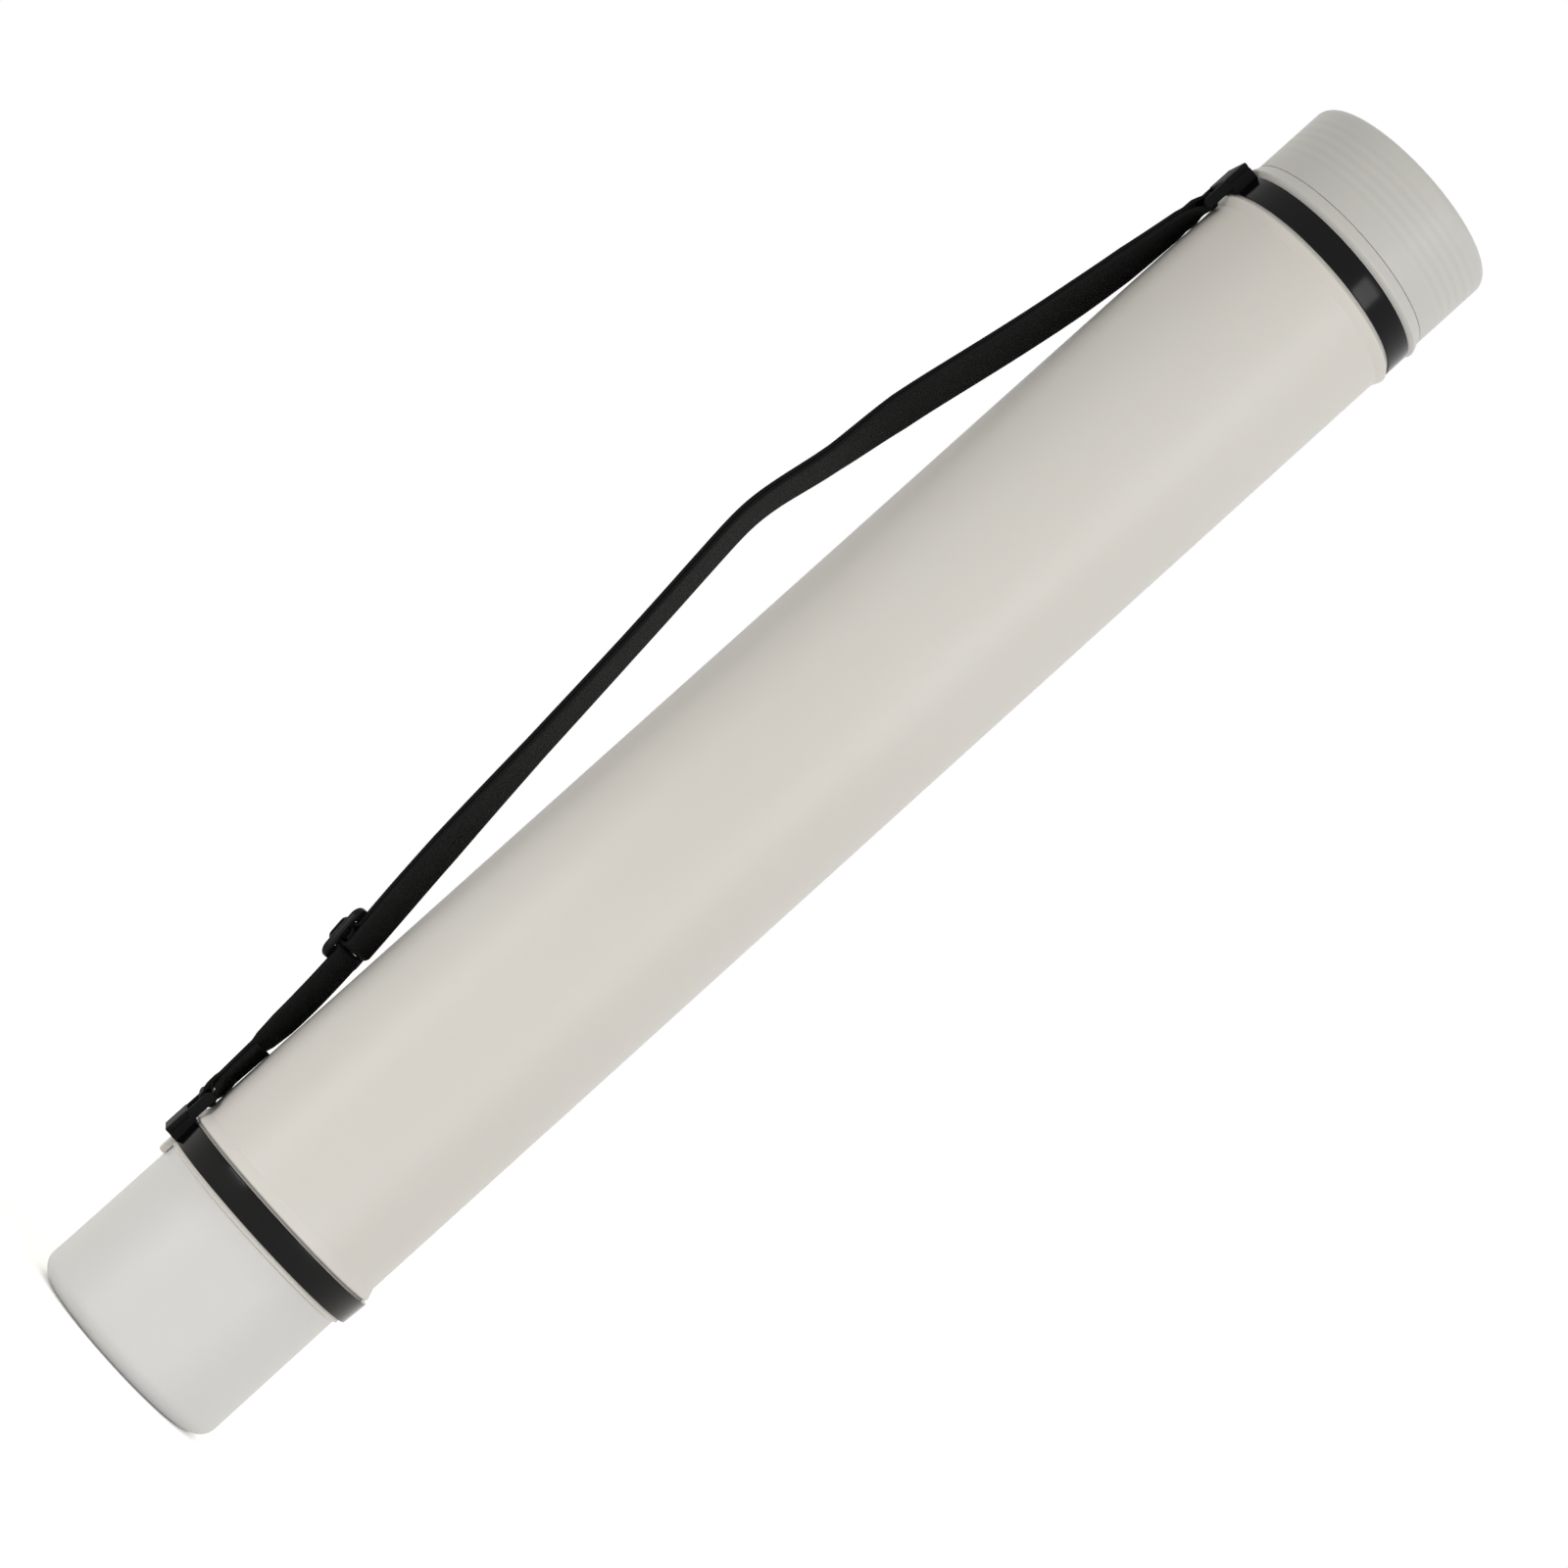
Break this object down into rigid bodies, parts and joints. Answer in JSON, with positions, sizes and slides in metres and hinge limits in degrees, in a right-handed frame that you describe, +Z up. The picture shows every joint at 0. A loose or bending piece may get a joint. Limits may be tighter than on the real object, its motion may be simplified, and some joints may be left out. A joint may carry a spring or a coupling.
{
  "type": "telescopic poster tube",
  "caption": "Round plastic tube for rolled posters: a telescoping body on a closed foot, a screw cap, and a webbing carry strap with a slider, looped through eyes on clamp bands.",
  "frame": {"origin": "centre of the foot's flat underside", "axes": "+Z up along the tube towards the cap, -X towards the carry strap"},
  "size_m": [0.1285, 0.095, 0.6506],
  "materials": {
    "tube_plastic": "satin, slightly translucent off-white plastic",
    "cap_plastic": "satin, slightly translucent grey-white plastic",
    "band_plastic": "satin black plastic",
    "webbing": "black woven webbing",
    "slider_plastic": "black moulded plastic"
  },
  "bodies": {
    "base": {"inner_tube": "tube_plastic"},
    "sleeve": {"outer_tube": "tube_plastic", "lower_strap_band": "band_plastic", "upper_strap_band": "band_plastic", "carry_strap": "webbing", "strap_slider": "slider_plastic"},
    "cap": {"screw_cap": "cap_plastic"}
  },
  "joints": [
    {"name": "extend", "type": "slide", "parent": "base", "child": "sleeve", "axis": [0, 0, 1], "range_m": [0, 0.45]},
    {"name": "cap_lift", "type": "slide", "parent": "sleeve", "child": "cap", "axis": [0, 0, 1], "range_m": [0, 0.1]}
  ]
}
